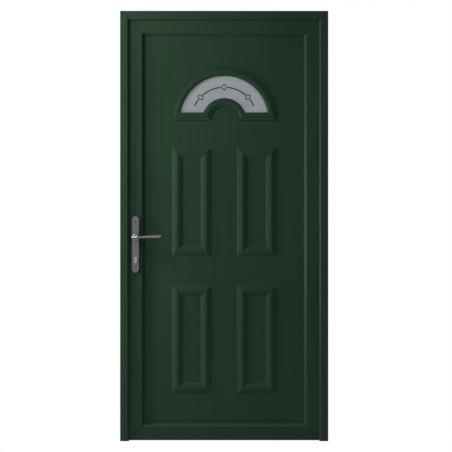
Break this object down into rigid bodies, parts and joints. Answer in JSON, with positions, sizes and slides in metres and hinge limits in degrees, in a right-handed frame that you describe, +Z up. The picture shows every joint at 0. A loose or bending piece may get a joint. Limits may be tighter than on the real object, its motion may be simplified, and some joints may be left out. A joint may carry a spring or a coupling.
{
  "type": "aluminium entry door",
  "caption": "Panelled aluminium entry door leaf hung in its three-sided frame, with an arched fanlight, lever handles, a profile cylinder and a lock with end bolts.",
  "frame": {"origin": "on the floor, midway between the jambs, in the middle plane of the leaf", "axes": "+X from the lock side to the hinge side, +Y from outdoors to indoors, +Z up"},
  "size_m": [1.04, 0.1922, 2.15],
  "materials": {
    "frame_paint": "satin green powder coat",
    "leaf_paint": "satin green powder coat",
    "panel_paint": "satin green powder coat",
    "insulating_plastic": "matte black",
    "gasket_rubber": "matte black",
    "mill_aluminium": "mill finish",
    "panel_foam": "pale rigid foam",
    "satin_glass": "satin",
    "clear_glass": "clear",
    "decor_metal": "dark grey strip",
    "plate_metal": "satin grey",
    "lever_metal": "satin",
    "cylinder_metal": "nickel",
    "screw_steel": "bright",
    "lock_steel": "zinc plated",
    "hinge_paint": "satin green powder coat",
    "pin_steel": "bright"
  },
  "bodies": {
    "frame": {"frame_corner_cleats": "mill_aluminium", "frame_stop_gasket": "gasket_rubber", "frame_thermal_strips": "insulating_plastic", "head_inner_shell": "frame_paint", "head_outer_shell": "frame_paint", "hinge_frame_part_bottom": "hinge_paint", "hinge_frame_part_middle": "hinge_paint", "hinge_frame_part_top": "hinge_paint", "hinge_jamb_inner_shell": "frame_paint", "hinge_jamb_outer_shell": "frame_paint", "hinge_pins": "pin_steel", "lock_jamb_inner_shell": "frame_paint", "lock_jamb_outer_shell": "frame_paint", "strike_plates": "lock_steel", "strike_screws": "screw_steel"},
    "leaf": {"bottom_rail_inner_shell": "leaf_paint", "bottom_rail_outer_shell": "leaf_paint", "bottom_seal": "gasket_rubber", "cylinder_body": "cylinder_metal", "end_lock_boxes": "lock_steel", "fanlight_decor": "decor_metal", "fanlight_inner_frame": "panel_paint", "fanlight_inner_pane": "clear_glass", "fanlight_outer_frame": "panel_paint", "fanlight_outer_pane": "satin_glass", "fanlight_spacer": "mill_aluminium", "hinge_leaf_part_bottom": "hinge_paint", "hinge_leaf_part_middle": "hinge_paint", "hinge_leaf_part_top": "hinge_paint", "hinge_stile_inner_shell": "leaf_paint", "hinge_stile_outer_shell": "leaf_paint", "inner_handle_plate": "plate_metal", "leaf_corner_cleats": "mill_aluminium", "leaf_overlap_gasket": "gasket_rubber", "leaf_thermal_strips": "insulating_plastic", "lock_case": "lock_steel", "lock_faceplate": "lock_steel", "lock_screws": "screw_steel", "lock_stile_inner_shell": "leaf_paint", "lock_stile_outer_shell": "leaf_paint", "outer_handle_plate": "plate_metal", "panel_beads": "leaf_paint", "panel_core": "panel_foam", "panel_gaskets": "gasket_rubber", "panel_inner_skin": "panel_paint", "panel_outer_skin": "panel_paint", "plate_screws": "screw_steel", "top_rail_inner_shell": "leaf_paint", "top_rail_outer_shell": "leaf_paint"},
    "handle": {"outer_lever": "lever_metal", "inner_lever": "lever_metal", "spindle": "lock_steel", "lock_follower": "lock_steel"},
    "latch": {"latch_bolt": "lock_steel"},
    "outer_plug": {"outer_plug": "cylinder_metal", "cam": "lock_steel"},
    "inner_plug": {"inner_plug": "cylinder_metal"},
    "bolts": {"deadbolt": "lock_steel", "end_bolts": "lock_steel"},
    "rods": {"drive_rods": "lock_steel"}
  },
  "joints": [
    {"name": "leaf_swing", "type": "hinge", "parent": "frame", "child": "leaf", "pos_m": [0.5015, 0.0435, 0], "axis": [0, 0, -1], "range_deg": [0, 100]},
    {"name": "handle_turn", "type": "hinge", "parent": "leaf", "child": "handle", "pos_m": [-0.443, 0, 1.019], "axis": [0, 1, 0], "range_deg": [0, 40], "stiffness_Nm_per_rad": 1.5, "springref_deg": -28.65},
    {"name": "latch_slide", "type": "slide", "parent": "leaf", "child": "latch", "axis": [1, 0, 0], "range_m": [0, 0.0088]},
    {"name": "outer_plug_turn", "type": "hinge", "parent": "leaf", "child": "outer_plug", "pos_m": [-0.443, 0, 0.913], "axis": [0, 1, 0], "range_deg": [0, 360]},
    {"name": "bolt_slide", "type": "slide", "parent": "leaf", "child": "bolts", "axis": [-1, 0, 0], "range_m": [0, 0.02]},
    {"name": "rod_slide", "type": "slide", "parent": "leaf", "child": "rods", "axis": [0, 0, 1], "range_m": [0, 0.02]},
    {"name": "inner_plug_turn", "type": "hinge", "parent": "leaf", "child": "inner_plug", "pos_m": [-0.443, 0, 0.913], "axis": [0, 1, 0], "range_deg": [0, 360]}
  ],
  "couplings": [
    {"joint": "latch_slide", "follows": "handle_turn", "m_per_rad": 0.0126},
    {"joint": "bolt_slide", "follows": "rod_slide", "ratio": 1},
    {"joint": "outer_plug_turn", "follows": "rod_slide", "rad_per_m": 314.1}
  ]
}
